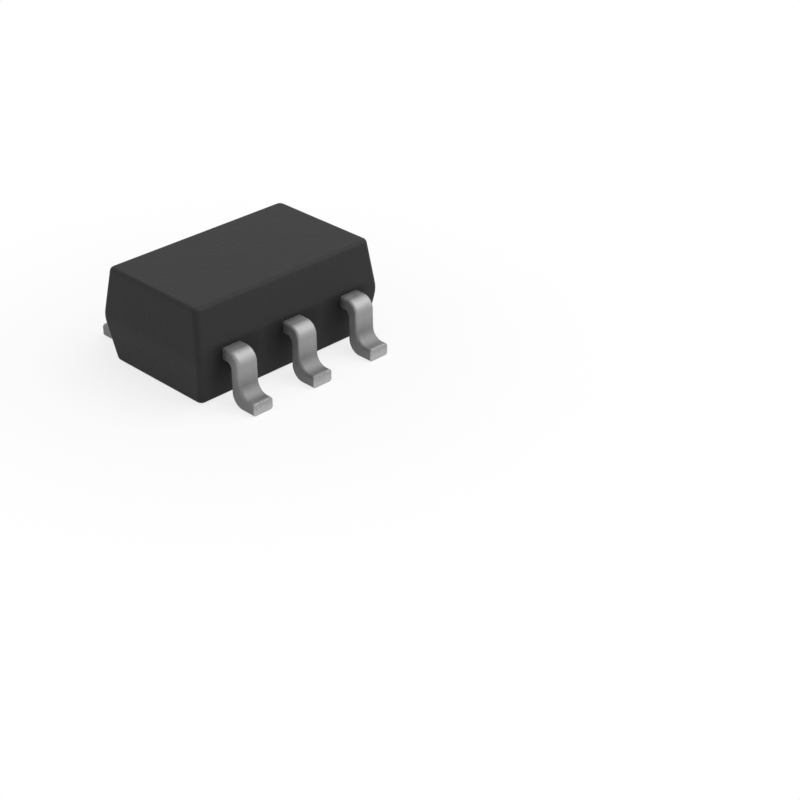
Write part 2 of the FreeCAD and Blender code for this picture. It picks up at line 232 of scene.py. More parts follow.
def bump(nodes, height, depth_mm, under=None):
    """A relief of the given depth, laid over the relief under it if there is one."""
    inputs = {"Height": height, "Distance": depth_mm * MM, "Strength": 1.0}
    if under is not None:
        inputs["Normal"] = under
    return nodes.add("ShaderNodeBump", {}, inputs)


def new_material(name, build):
    """A material whose look comes from a build function, which returns the shader's own inputs."""
    material = bpy.data.materials.new(name)
    material.use_nodes = True
    tree = material.node_tree
    tree.nodes.clear()
    nodes = Nodes(tree)
    shader = nodes.add("ShaderNodeBsdfPrincipled", {}, build(nodes))
    nodes.add("ShaderNodeOutputMaterial", {}, {"Surface": shader})
    print(f"{name}: {len(tree.nodes)} nodes")
    return material


# %% [markdown]
# The body is transfer moulded from an epoxy that is mostly powdered glass, blackened with carbon. It comes
# out of a mould whose steel was eroded by sparks, so its skin is a fine, even matt. Up close three things
# show: the pits that the sparks left, a paler fleck where a grain of filler lies near the surface, and a
# slow cloudiness from the flow of the resin. Each is a pattern of its own size. The pits lie on a gentler
# swell, and these two also have a depth, of a few thousandths of a millimetre.
#
# Close to each lead the wall is painted blacker, most of all below it and between two. This is painted
# shade, standing in for the shadow that the leads throw on the wall. So the darkest tone follows the
# distance to the nearest lead, counted longer above it, and shorter below it and between two.

# %% The moulded epoxy
EPOXY_DARK = grey(0.016)
EPOXY_PALE = grey(0.021)
# Painted shade: the wall is painted blacker near each lead, in place of the shadow that the leads cast.
EPOXY_PAINTED_SHADE = grey(0.005)
PAINTED_SHADE_REACH = 0.25
SHORTER_ABOVE, LONGER_BELOW, LONGER_BETWEEN = 3.0, 0.4, 0.45
FLOW_CLOUDS_PER_MM = 1.6
FLECK = grey(0.05)
FLECK_SHARE = 0.35
FLECKS_PER_MM = 30.0
FLECK_CORE, FLECK_EDGE = 0.08, 0.2
SPARK_PITS_PER_MM = 55.0
SPARK_SWELL_PER_MM = 16.0
PIT_DEPTH = 0.0016
SWELL_DEPTH = 0.003
MOULDED_ROUGHNESS, ROUGHER_BY_PITS, ROUGHER_BY_CLOUDS = 0.52, 0.14, 0.08
EPOXY_SHINE = 0.25


def painted_shade_by_leads(nodes, place):
    """Painted shade on the wall: 1 at the root of a lead, and less round it, down to 0 where the distance
    reaches its limit.
    """
    along = nodes.add("ShaderNodeSeparateXYZ", {}, {"Vector": place}, "X")
    height = along.other("Z")
    from_lead = along.math("PINGPONG", along, LEAD_PITCH / 2)
    beside = from_lead.math("MAXIMUM", from_lead - LEAD_WIDTH / 2, 0.0)
    from_middle = along.math("ABSOLUTE", along)
    outside = from_middle.math("GREATER_THAN", from_middle, LEAD_PITCH)
    beside = beside * (LONGER_BETWEEN + (1 - LONGER_BETWEEN) * outside)
    above = height.math("MAXIMUM", height - corner_high.z, 0.0)
    below = height.math("MAXIMUM", corner_high.z - STRIP_THICKNESS - height, 0.0)
    upright = above * SHORTER_ABOVE + below * LONGER_BELOW
    away = upright.math("SQRT", beside * beside + upright * upright)
    return 1 - between(nodes, away, 0.0, PAINTED_SHADE_REACH)


def epoxy_look(nodes):
    place = place_in_mm(nodes)
    clouds = noise(nodes, place, FLOW_CLOUDS_PER_MM)
    pits = noise(nodes, place, SPARK_PITS_PER_MM, detail=3.0)
    swell = noise(nodes, place, SPARK_SWELL_PER_MM)
    filler = cells(nodes, place, FLECKS_PER_MM, "Distance")
    flecks = 1 - between(nodes, filler, FLECK_CORE, FLECK_EDGE)
    resin = mix_colours(nodes, clouds, EPOXY_DARK, EPOXY_PALE)
    # Painted shade: the resin is darkened round each lead, where the leads shade the wall.
    resin = mix_colours(nodes, painted_shade_by_leads(nodes, place), resin, EPOXY_PAINTED_SHADE)
    relief = bump(nodes, swell, SWELL_DEPTH)
    return {
        "Base Color": mix_colours(nodes, flecks * FLECK_SHARE, resin, FLECK),
        "Roughness": MOULDED_ROUGHNESS + ROUGHER_BY_PITS * pits + ROUGHER_BY_CLOUDS * clouds,
        "Specular IOR Level": EPOXY_SHINE,
        "Normal": bump(nodes, pits, PIT_DEPTH, relief),
    }


EPOXY = new_material("moulded_epoxy", epoxy_look)

# %% [markdown]
# The leads are a copper alloy plated with pure tin, which is matt and slightly cloudy. Tin grows as small
# grains, so the finest pattern is a mosaic. The strip was drawn through the forming tool, and it keeps
# faint streaks along its length. A streak follows a lead round all its bends for a simple reason: on a bent
# strip the distance across never changes, so a pattern that is stretched along Y and Z but fine along X
# runs the same way. Shallow dents from handling break up the highlights.
#
# Three things change along a lead. A trace of resin bleeds onto it where it leaves the body, and fades out
# within a tenth of a millimetre; that dark band is also painted shade, where the lead meets the wall. The
# shoulder and the upper leg are paler and smoother, and the instep and the foot darker and rougher. And the
# end of each foot is where the strip was cut off: the shear leaves a smooth band below, a torn and darker
# one above, and a ragged upper edge, drawn as dark dashes of burr with bright dashes of painted highlight
# between them.

# %% The tinned leads
UPPER_TIN_DARK, UPPER_TIN_PALE = grey(0.28), grey(0.37)
LOWER_TIN_DARK, LOWER_TIN_PALE = grey(0.19), grey(0.27)
UPPER_TONE_FROM, UPPER_TONE_TO = 0.24, 0.52
TIN_ROUGHNESS, SMOOTHER_HIGHER_UP, ROUGHER_BY_TIN_CLOUDS = 0.6, 0.08, 0.14
TIN_CLOUDS_PER_MM = 5.0
DRAWN_ALONG_STRIP = (1.0, 0.04, 0.04)
# The root of each lead is darkened: a trace of resin, and painted shade where the lead meets the wall.
BLEED_AND_ROOT_SHADE = grey(0.07)
BLEED_AND_SHADE_SHARE = 0.5
BLEED_AND_SHADE_LENGTH = 0.1
BLEED_AND_SHADE_WANDER = 0.05
TORN_METAL, SHEARED_METAL = grey(0.37), grey(0.46)
# The upper edge of a cut end gets dark dashes of burr and bright dashes of painted highlight.
BURR_DARK, BURR_PAINTED_HIGHLIGHT = grey(0.22), grey(0.44)
TORN_FROM, TORN_TO = 0.05, 0.13
TORN_WANDER = 0.16
DRAWN_UPRIGHT = (1.0, 1.0, 0.4)
BURR_AND_HIGHLIGHT_FROM, BURR_AND_HIGHLIGHT_TO = 0.42, 0.6
TIN_GRAINS_PER_MM = 60.0
STREAKS_PER_MM = 34.0
SPECKS_PER_MM = 45.0
BURR_AND_HIGHLIGHT_GRAINS_PER_MM = 85.0
DENTS_PER_MM = 13.0
DENT_DEPTH = 0.0025
GRAIN_DEPTH = 0.0006
STREAK_DEPTH = 0.001
CUT_DEPTH = 0.004
CUT_FACE = 0.012
EDGE_BAND = 0.02


def tin_look(nodes):
    place = place_in_mm(nodes)
    grains = cells(nodes, place, TIN_GRAINS_PER_MM, "Distance")
    streaks = noise(nodes, place_in_mm(nodes, DRAWN_ALONG_STRIP), STREAKS_PER_MM, detail=3.0)
    clouds = noise(nodes, place, TIN_CLOUDS_PER_MM, detail=3.0)
    across = nodes.add("ShaderNodeSeparateXYZ", {}, {"Vector": place}, "Y")
    reach, height = across.math("ABSOLUTE", across), across.other("Z")
    # Paler and smoother above these heights, darker and rougher below them.
    higher_up = between(nodes, height, UPPER_TONE_FROM, UPPER_TONE_TO)
    tone = (clouds + streaks) / 2
    lower_tin = mix_colours(nodes, tone, LOWER_TIN_DARK, LOWER_TIN_PALE)
    plating = mix_colours(nodes, higher_up, lower_tin, mix_colours(nodes, tone, UPPER_TIN_DARK, UPPER_TIN_PALE))
    # Darker at the root: a trace of resin bleed, and painted shade where the lead meets the wall.
    wandering = reach + BLEED_AND_SHADE_WANDER * (clouds - 0.5)
    bleed_and_shade = 1 - between(nodes, wandering, body_high.y, body_high.y + BLEED_AND_SHADE_LENGTH)
    plating = mix_colours(nodes, bleed_and_shade * BLEED_AND_SHADE_SHARE, plating, BLEED_AND_ROOT_SHADE)

    cut = between(nodes, reach, corner_high.y - CUT_FACE, corner_high.y - CUT_FACE / 3)
    shear = noise(nodes, place_in_mm(nodes, DRAWN_UPRIGHT), SPECKS_PER_MM, detail=3.0)
    torn = between(nodes, height + TORN_WANDER * (shear - 0.5), TORN_FROM, TORN_TO)
    end_face = mix_colours(nodes, torn, SHEARED_METAL, TORN_METAL)
    by_edge = between(nodes, reach, corner_high.y - 2 * EDGE_BAND, corner_high.y - EDGE_BAND)
    at_top = between(nodes, height, STRIP_THICKNESS - EDGE_BAND, STRIP_THICKNESS - EDGE_BAND / 2)
    below_bends = height.math("LESS_THAN", height, UPPER_TONE_FROM)
    crumbs = noise(nodes, place, BURR_AND_HIGHLIGHT_GRAINS_PER_MM)
    # Dark dashes of burr, and bright dashes of painted highlight.
    burr_and_highlight = mix_colours(nodes, between(nodes, crumbs, BURR_AND_HIGHLIGHT_FROM, BURR_AND_HIGHLIGHT_TO), BURR_PAINTED_HIGHLIGHT, BURR_DARK)
    metal = mix_colours(nodes, cut, plating, end_face)

    relief = bump(nodes, noise(nodes, place, DENTS_PER_MM), DENT_DEPTH)
    relief = bump(nodes, grains, GRAIN_DEPTH, relief)
    relief = bump(nodes, streaks * (1 - cut), STREAK_DEPTH, relief)
    return {
        "Base Color": mix_colours(nodes, by_edge * at_top * below_bends, metal, burr_and_highlight),
        "Metallic": 1.0,
        "Roughness": TIN_ROUGHNESS - SMOOTHER_HIGHER_UP * higher_up + ROUGHER_BY_TIN_CLOUDS * clouds,
        "Normal": bump(nodes, shear * cut, CUT_DEPTH, relief),
    }


TIN = new_material("matt_tin_plating", tin_look)

# %% [markdown]
# Three more finishes lie inside the body, where only a cut or a see-through view of the model shows them.
# The adhesive under the silicon is epoxy filled with flakes of silver. The silicon is polished and
# lacquered, with blocks of circuit on its face. The bond wires are bare gold, drawn very fine.

# %% The finishes inside the body
ADHESIVE_RESIN, SILVER_FLAKE = grey(0.32), grey(0.72)
FLAKES_PER_MM = 70.0
FLAKES_FROM, FLAKES_TO = 0.35, 0.75
FLAKE_METAL = 0.8
RESIN_ROUGHNESS, SMOOTHER_BY_FLAKES = 0.6, 0.25
FLAKE_HEIGHT = 0.001

SILICON_PLAIN, SILICON_BLOCK = (0.075, 0.08, 0.1, 1.0), (0.16, 0.15, 0.19, 1.0)
BLOCKS_PER_MM, BLOCK_DISORDER = 7.0, 0.6
BLOCKS_FROM, BLOCKS_TO = 0.3, 0.7
LINES_PER_MM = 14.0
LACQUER_ROUGHNESS, ROUGHER_BY_LINES = 0.12, 0.15
LINE_HEIGHT = 0.0005

GOLD_DEEP, GOLD_BRIGHT = (0.86, 0.56, 0.2, 1.0), (1.0, 0.74, 0.35, 1.0)
GOLD_GRAINS_PER_MM = 120.0
GOLD_ROUGHNESS, ROUGHER_BY_DRAWING = 0.18, 0.12
GOLD_GRAIN_DEPTH = 0.0003


def adhesive_look(nodes):
    bright = between(nodes, cells(nodes, place_in_mm(nodes), FLAKES_PER_MM, "Color"), FLAKES_FROM, FLAKES_TO)
    return {
        "Base Color": mix_colours(nodes, bright, ADHESIVE_RESIN, SILVER_FLAKE),
        "Metallic": FLAKE_METAL * bright,
        "Roughness": RESIN_ROUGHNESS - SMOOTHER_BY_FLAKES * bright,
        "Normal": bump(nodes, bright, FLAKE_HEIGHT),
    }


def silicon_look(nodes):
    place = place_in_mm(nodes)
    inputs = {"Vector": place, "Scale": BLOCKS_PER_MM, "Randomness": BLOCK_DISORDER}
    blocks = nodes.add("ShaderNodeTexVoronoi", {"distance": "CHEBYCHEV"}, inputs, "Color")
    lines = nodes.add("ShaderNodeTexBrick", {}, {"Vector": place, "Scale": LINES_PER_MM}, "Fac")
    tone = between(nodes, blocks, BLOCKS_FROM, BLOCKS_TO)
    return {
        "Base Color": mix_colours(nodes, tone, SILICON_PLAIN, SILICON_BLOCK),
        "Roughness": LACQUER_ROUGHNESS + ROUGHER_BY_LINES * lines,
        "Normal": bump(nodes, lines, LINE_HEIGHT),
    }


def gold_look(nodes):
    drawn = noise(nodes, place_in_mm(nodes), GOLD_GRAINS_PER_MM, detail=1.0)
    return {
        "Base Color": mix_colours(nodes, drawn, GOLD_DEEP, GOLD_BRIGHT),
        "Metallic": 1.0,
        "Roughness": GOLD_ROUGHNESS + ROUGHER_BY_DRAWING * drawn,
        "Normal": bump(nodes, drawn, GOLD_GRAIN_DEPTH),
    }


ADHESIVE = new_material("silver_filled_adhesive", adhesive_look)
SILICON = new_material("polished_silicon", silicon_look)
GOLD = new_material("bare_gold", gold_look)

# %% [markdown]
# The shapes come next, and three of them follow a rule: the body, the bent leads and the wires. Geometry
# Nodes suit such pieces, because the rule is written once and the sizes stay open. Each tree below gets a
# named input for every size. It is run on an empty object or on an outline, its result is taken off as a
# plain mesh, and the modifier goes. A piece then looks the same to every tool that reads it.

# %% Helpers for shapes
SHARP_TURN = 40.0
JOIN_WITHIN = 0.0001


def new_form(name, numbers, objects=()):
    """A geometry tree with a named input for each size, and its group input's outputs by name."""
    tree = bpy.data.node_groups.new(name, "GeometryNodeTree")
    kinds = {n: "NodeSocketFloat" for n in numbers}
    kinds.update({n: "NodeSocketObject" for n in objects})
    kinds["Material"] = "NodeSocketMaterial"
    tree.interface.new_socket("Geometry", in_out="INPUT", socket_type="NodeSocketGeometry")
    for title, kind in kinds.items():
        tree.interface.new_socket(title, in_out="INPUT", socket_type=kind)
    tree.interface.new_socket("Geometry", in_out="OUTPUT", socket_type="NodeSocketGeometry")
    group = tree.nodes.new("NodeGroupInput")
    return Nodes(tree), {s.name: Value(tree, s) for s in group.outputs if s.name}


def close_form(nodes, geometry, material):
    """End a tree: real geometry in place of instances, shaded smooth, with its material."""
    real = nodes.add("GeometryNodeRealizeInstances", {}, {"Geometry": geometry})
    smooth = nodes.add("GeometryNodeSetShadeSmooth", {}, {"Geometry": real, "Shade Smooth": True})
    dressed = nodes.add("GeometryNodeSetMaterial", {}, {"Geometry": smooth, "Material": material})
    nodes.add("NodeGroupOutput", {}, {"Geometry": dressed})
    return nodes.tree


def as_piece(name, mesh):
    piece = bpy.data.objects.new(name, mesh)
    bpy.context.scene.collection.objects.link(piece)
    return piece


def take_mesh(piece):
    """The mesh of a piece with all its modifiers worked in. The piece itself is removed."""
    finished = piece.evaluated_get(bpy.context.evaluated_depsgraph_get())
    mesh = bpy.data.meshes.new_from_object(finished)
    bpy.data.objects.remove(piece)
    return mesh


def run_form(tree, sizes, start=None, finish=None):
    """The mesh that a tree makes with these sizes. finish may add modifiers after the tree."""
    piece = as_piece("form", start or bpy.data.meshes.new("form"))
    modifier = piece.modifiers.new("form", "NODES")
    modifier.node_group = tree
    names = {s.name: s.identifier for s in tree.interface.items_tree if s.in_out == "INPUT"}
    for title, size in sizes.items():
        modifier[names[title]] = size
    if finish:
        finish(piece)
    return take_mesh(piece)


def inspect_mesh(name, mesh):
    """Print what a mesh measures, and stop if it is open anywhere or turned inside out."""
    probe = bmesh.new()
    probe.from_mesh(mesh)
    open_edges = sum(not edge.is_manifold for edge in probe.edges)
    volume = probe.calc_volume(signed=True)
    faces = len(probe.faces)
    probe.free()
    print(f"{name}: {faces} faces, {volume:.5f} cubic mm, {open_edges} open edges")
    if open_edges or volume <= 0:
        raise RuntimeError(f"{name} isn't a closed solid")


# %% [markdown]
# The body looks like a box, but none of its walls is upright. A moulding only leaves its mould if the walls
# lean, so each slopes inward from the parting line, where the two halves of the mould met. Here that line
# is a soft ridge below mid height. One rule gives the whole form: at any height, the body is a rectangle
# with rounded corners, whose half length and half width are the smaller of two sloping lines. A smooth
# minimum rounds the ridge. Near the top and bottom faces the rectangle shrinks along a quarter circle.
#
# In the tree, a circle is swept up a vertical line. Then each point is moved to where the rule puts it: its
# direction on the circle says which corner it belongs to. The first and the last ring lie in the bottom and
# the top face, well inside them, so that each face ends in a flat border and is shaded perfectly flat.

# %% Sizes of the moulded body
PARTING_HEIGHT = 0.612
PARTING_RADIUS = 0.6
END_DRAFT_UPPER, END_DRAFT_LOWER = 5.7, 7.5
SIDE_DRAFT_UPPER, SIDE_DRAFT_LOWER = 9.3, 11.0
CORNER_RADIUS = 0.08
RIM_RADIUS = 0.05
BODY_STATIONS = 122
POINTS_PER_CORNER = 10
FLAT_BORDER = 0.2

BODY_SIZES = ["Top", "Bottom", "Parting height", "Corner radius", "Rim radius"]
WALL_SIZES = ["half", "upper slope", "lower slope", "ridge blend"]


def wall_sizes(title, half, draft_upper, draft_lower):
    """The inputs of one pair of walls: where the sharp ridge would be, the two slopes, and the rounding."""
    upper = math.tan(math.radians(draft_upper))
    lower = math.tan(math.radians(draft_lower))
    half_turn = math.radians(draft_upper + draft_lower) / 2
    shaved = PARTING_RADIUS * (1 / math.cos(half_turn) - 1)
    # A smooth minimum takes a sixth of its blend off the sharp ridge.
    sizes = (half + shaved, upper, lower, 6 * shaved)
    return {f"{title} {name}": size for name, size in zip(WALL_SIZES, sizes)}


ends = wall_sizes("End", body_high.x, END_DRAFT_UPPER, END_DRAFT_LOWER)
sides = wall_sizes("Side", body_high.y, SIDE_DRAFT_UPPER, SIDE_DRAFT_LOWER)
print({name: round(size, 4) for name, size in (ends | sides).items()})

# %% The rule of the moulded body, as a tree
def half_reach(given, title, height):
    """Half the length or width of the body at a height: the smooth minimum of two sloping lines."""
    above = height - given["Parting height"]
    half = given[f"{title} half"]
    upper = half - above * given[f"{title} upper slope"]
    lower = half + above * given[f"{title} lower slope"]
    return upper.math("SMOOTH_MIN", upper, lower, given[f"{title} ridge blend"])


def rim_inset(given, height):
    """How far the walls draw in near the top and bottom faces, along a quarter circle."""
    to_top = given["Top"] - height
    to_rim = to_top.math("MINIMUM", to_top, height - given["Bottom"])
    share = to_rim.math("DIVIDE", to_rim, given["Rim radius"], clamp=True)
    lost = 1 - share
    return given["Rim radius"] * (1 - lost.math("SQRT", 1 - lost * lost))


def body_form():
    nodes, given = new_form("moulded_body", [*BODY_SIZES, *ends, *sides])
    line = nodes.add("GeometryNodeCurvePrimitiveLine", {}, {"Start": (0, 0, 0), "End": (0, 0, 1)})
    line = nodes.add("GeometryNodeResampleCurve", {}, {"Curve": line, "Count": BODY_STATIONS})
    circle = nodes.add("GeometryNodeCurvePrimitiveCircle", {}, {"Resolution": 4 * POINTS_PER_CORNER})
    half_step = math.pi / (4 * POINTS_PER_CORNER)
    circle = nodes.add("GeometryNodeTransform", {}, {"Geometry": circle, "Rotation": (0, 0, half_step)})
    tube = nodes.add(
        "GeometryNodeCurveToMesh", {}, {"Curve": line, "Profile Curve": circle, "Fill Caps": True}
    )
    here = nodes.add("GeometryNodeInputPosition", {}, {})
    out_x = nodes.add("ShaderNodeSeparateXYZ", {}, {"Vector": here}, "X")
    out_y, rise = out_x.other("Y"), out_x.other("Z")
    step = 1 / (BODY_STATIONS - 1)
    off_middle = rise - 0.5
    off_middle = off_middle.math("ABSOLUTE", off_middle)
    border = off_middle.math("GREATER_THAN", off_middle, 0.5 - step / 2) * FLAT_BORDER
    # The other stations crowd together towards both faces, where the rims curve.
    climb = rise.math("DIVIDE", rise - step, 1 - 2 * step, clamp=True)
    share = (1 - rise.math("COSINE", climb * math.pi)) / 2
    height = given["Bottom"] + share * (given["Top"] - given["Bottom"])
    inset = rim_inset(given, height)
    radius = given["Corner radius"] - inset
    reach_x = half_reach(given, "End", height) - inset - radius - border
    reach_y = half_reach(given, "Side", height) - inset - radius - border
    x = out_x.math("SIGN", out_x) * reach_x + out_x * radius
    y = out_y.math("SIGN", out_y) * reach_y + out_y * radius
    place = nodes.add("ShaderNodeCombineXYZ", {}, {"X": x, "Y": y, "Z": height})
    form = nodes.add("GeometryNodeSetPosition", {}, {"Geometry": tube, "Position": place})
    return close_form(nodes, form, given["Material"])


body_mesh = run_form(body_form(), {
    "Top": body_high.z,
    "Bottom": body_low.z,
    "Parting height": PARTING_HEIGHT,
    "Corner radius": CORNER_RADIUS,
    "Rim radius": RIM_RADIUS,
    **ends,
    **sides,
    "Material": EPOXY,
})
inspect_mesh("moulded body", body_mesh)

# %% [markdown]
# A lead is stamped from flat strip and then bent into a gull wing: out of the body, over the shoulder, down
# the leg, and out again along the foot. A plain sweep along one path would give every bend the same
# thickness of metal. A forming tool doesn't: it squeezes the bends, and their inner and outer radii have
# different centres. So the tree draws two outlines, the strip's upper and lower surface, each with its own
# radius at each bend. A rounded rectangle is swept along the upper one only to get the net of faces, and
# then every point is put where it belongs between the two.

# %% Sizes of the gull wing
ROOT_DEPTH = 0.14
TOE_LENGTH = 0.232
LEG_LEAN = 1.5
INSTEP_RADIUS = 0.155
EDGE_RADIUS = 0.038
CUT_EDGE = 0.012
STEPS_PER_CUT_EDGE = 3
POINTS_PER_BEND = 16
POINTS_PER_EDGE = 5

half_leg_turn = math.radians(90 - LEG_LEAN) / 2
leg_at_foot = (
    corner_high.y
    - TOE_LENGTH
    + INSTEP_RADIUS * math.tan(half_leg_turn) * math.sin(math.radians(LEG_LEAN))
)
wing_sizes = {
    "Width": LEAD_WIDTH,
    "Thickness": STRIP_THICKNESS,
    "Root": body_high.y - ROOT_DEPTH,
    "Toe": corner_high.y,
    "Strip top": corner_high.z,
    "Leg": leg_at_foot,
    "Lean": math.tan(math.radians(LEG_LEAN)),
    "Shoulder radius": 0.16,
    "Instep radius": INSTEP_RADIUS,
    "Armpit radius": 0.07,
    "Heel radius": 0.172,
    "Edge radius": EDGE_RADIUS,
}
print(f"leg's foot at {leg_at_foot:.3f} mm from the middle")

# %% The gull wing, as a tree
VECTOR_FACTOR, VECTOR_A, VECTOR_B, VECTOR_RESULT = 0, 4, 5, 1


def bent_outline(nodes, corners, first_radius, second_radius):
    """An open line through four corners, each (y, z), with its two inner corners rounded."""
    points = {
        f"Point {k}": nodes.add("ShaderNodeCombineXYZ", {}, {"Y": y, "Z": z})
        for k, (y, z) in enumerate(corners, start=1)
    }
    line = nodes.add("GeometryNodeCurvePrimitiveQuadrilateral", {"mode": "POINTS"}, points)
    line = nodes.add("GeometryNodeSetSplineCyclic", {}, {"Geometry": line, "Cyclic": False})
    corner = nodes.add("GeometryNodeInputIndex", {}, {})
    radius = (2 - corner) * first_radius + (corner - 1) * second_radius
    inputs = {"Curve": line, "Radius": radius, "Count": POINTS_PER_BEND}
    return nodes.add("GeometryNodeFilletCurve", {"mode": "POLY"}, inputs)


def point_of(nodes, curve, number):
    """Where one numbered point of a curve lies."""
    here = nodes.add("GeometryNodeInputPosition", {}, {})
    inputs = {"Geometry": curve, "Value": here, "Index": number}
    return nodes.add("GeometryNodeSampleIndex", {"data_type": "FLOAT_VECTOR"}, inputs)


def wing_form():
    nodes, given = new_form("gull_wing", wing_sizes)
    thick, top, foot_end, root = given["Thickness"], given["Strip top"], given["Toe"], given["Root"]

    def front(height):
        return given["Leg"] - (height - thick) * given["Lean"]

    upper = bent_outline(
        nodes,
        [(root, top), (front(top), top), (given["Leg"], thick), (foot_end, thick)],
        given["Shoulder radius"],
        given["Instep radius"],
    )
    under = top - thick
    lower = bent_outline(
        nodes,
        [(root, under), (front(under) - thick, under), (front(0) - thick, 0), (foot_end, 0)],
        given["Armpit radius"],
        given["Heel radius"],
    )
    section = nodes.add(
        "GeometryNodeCurvePrimitiveQuadrilateral", {}, {"Width": given["Width"], "Height": thick}
    )
    section = nodes.add(
        "GeometryNodeFilletCurve",
        {"mode": "POLY"},
        {"Curve": section, "Radius": given["Edge radius"], "Count": POINTS_PER_EDGE},
    )
    net = nodes.add(
        "GeometryNodeCurveToMesh", {}, {"Curve": upper, "Profile Curve": section, "Fill Caps": True}
    )
    ring = nodes.add("GeometryNodeAttributeDomainSize", {"component": "CURVE"}, {"Geometry": section})
    number = nodes.add("GeometryNodeInputIndex", {}, {})
    station = number.math("FLOOR", (number + 0.5) / ring)
    on_section = point_of(nodes, section, number - station * ring)
    across = nodes.add("ShaderNodeSeparateXYZ", {}, {"Vector": on_section}, "X")
    share = across.other("Y") / thick + 0.5
    inputs = {
        VECTOR_FACTOR: share,
        VECTOR_A: point_of(nodes, lower, station),
        VECTOR_B: point_of(nodes, upper, station),
    }
    middle = nodes.add("ShaderNodeMix", {"data_type": "VECTOR"}, inputs, VECTOR_RESULT)
    aside = nodes.add("ShaderNodeCombineXYZ", {}, {"X": across})
    place = nodes.add("ShaderNodeVectorMath", {"operation": "ADD"}, {0: middle, 1: aside})
    form = nodes.add("GeometryNodeSetPosition", {}, {"Geometry": net, "Position": place})
    form = nodes.add("GeometryNodeFlipFaces", {}, {"Mesh": form})
    return close_form(nodes, form, given["Material"])


def round_cut_edges(piece):
    """Take the sharpness off the edges where the strip was cut."""
    rounding = piece.modifiers.new("cut edges", "BEVEL")
    rounding.width = CUT_EDGE
    rounding.segments = STEPS_PER_CUT_EDGE
    rounding.limit_method = "ANGLE"
    rounding.angle_limit = math.radians(SHARP_TURN)


wing_mesh = run_form(wing_form(), {**wing_sizes, "Material": TIN}, finish=round_cut_edges)
inspect_mesh("gull wing", wing_mesh)

# %% [markdown]
# Inside the body each strip goes on as a flat finger, stamped in one piece with the wing. Four are corner
# fingers that flare outward beside the silicon. One ends in a tee, and one carries the paddle that the
# silicon is glued to. A stamping is an outline with a thickness, so it is drawn as one: a loop of corners,
# a second loop for the hole through which the epoxy grips the strip, filled and pulled up. Then the tree
# joins it to the wing, which gives one closed skin.

# %% Outlines of the stamped fingers
FINGER_OVERLAP = 0.05
FLARE_START = 0.52
TEE_DEPTH = 0.16
LOCK_HOLE = 0.1
LOCK_HOLE_INSET = 0.08
POINTS_PER_HOLE = 24

half_lead = LEAD_WIDTH / 2
root = wing_sizes["Root"]
finger_end = root + FINGER_OVERLAP
finger_tip = corner_low.y
finger_flare = corner_high.x - LEAD_PITCH


def corner_finger(outward):
    """The corners of a finger whose flare points along +X if outward is 1, and along -X if it is -1."""
    return [
        (-outward * half_lead, finger_end),
        (-outward * half_lead, finger_tip),
        (outward * finger_flare, finger_tip),
        (outward * finger_flare, FLARE_START),
        (outward * half_lead, FLARE_START),
        (outward * half_lead, finger_end),
    ]


def flat_head(half_width, near, far):
    """The corners of a finger that ends in a rectangle, which reaches from near to far."""
    side = [(half_lead, finger_end), (half_lead, far), (half_width, far), (half_width, near)]
    return side + [(-x, y) for x, y in reversed(side)]


def lock_hole():
    """The loop of the hole through a finger, just inside the body."""
    middle = root - LOCK_HOLE_INSET - LOCK_HOLE / 2
    turns = [2 * math.pi * k / POINTS_PER_HOLE for k in range(POINTS_PER_HOLE)]
    return [(LOCK_HOLE / 2 * math.cos(a), middle + LOCK_HOLE / 2 * math.sin(a)) for a in turns]


FINGERS = {
    "lead_1": [corner_finger(1), lock_hole()],
    "lead_2": [flat_head(paddle_high.x, -paddle_high.y, paddle_high.y), lock_hole()],
    "lead_3": [corner_finger(-1), lock_hole()],
    "lead_4": [corner_finger(1), lock_hole()],
    "lead_5": [flat_head(tee_high.x, tee_low.y, tee_low.y + TEE_DEPTH)],
    "lead_6": [corner_finger(-1), lock_hole()],
}
print({name: sum(len(loop) for loop in loops) for name, loops in FINGERS.items()})

# %% Stamp each finger and join it to its wing
def outline_mesh(loops):
    """A mesh of edges only, which draws each loop of (x, y) points."""
    mesh = bpy.data.meshes.new("outline")
    points, edges = [], []
    for loop in loops:
        first = len(points)
        points += [(x, y, 0) for x, y in loop]
        edges += [(first + k, first + (k + 1) % len(loop)) for k in range(len(loop))]
    mesh.from_pydata(points, edges, [])
    return mesh


def lead_form():
    nodes, given = new_form("stamped_lead", ["Thickness", "Strip bottom"], objects=["Wing"])
    loops = nodes.add("GeometryNodeMeshToCurve", {}, {"Mesh": given["Geometry"]})
    flat = nodes.add("GeometryNodeFillCurve", {"mode": "NGONS"}, {"Curve": loops})
    pulled = nodes.add(
        "GeometryNodeExtrudeMesh",
        {},
        {"Mesh": flat, "Offset": (0, 0, 1), "Offset Scale": given["Thickness"], "Individual": False},
    )
    underside = nodes.add("GeometryNodeFlipFaces", {}, {"Mesh": flat})
    plate = nodes.add("GeometryNodeJoinGeometry", {}, {"Geometry": [pulled, underside]})
    plate = nodes.add("GeometryNodeMergeByDistance", {}, {"Geometry": plate, "Distance": JOIN_WITHIN})
    lift = nodes.add("ShaderNodeCombineXYZ", {}, {"Z": given["Strip bottom"]})
    plate = nodes.add("GeometryNodeTransform", {}, {"Geometry": plate, "Translation": lift})
    wing = nodes.add("GeometryNodeObjectInfo", {}, {"Object": given["Wing"]}, "Geometry")
    settings = {"operation": "UNION", "solver": "MANIFOLD"}
    lead = nodes.add("GeometryNodeMeshBoolean", settings, {"Mesh 2": [plate, wing]})
    return close_form(nodes, lead, given["Material"])


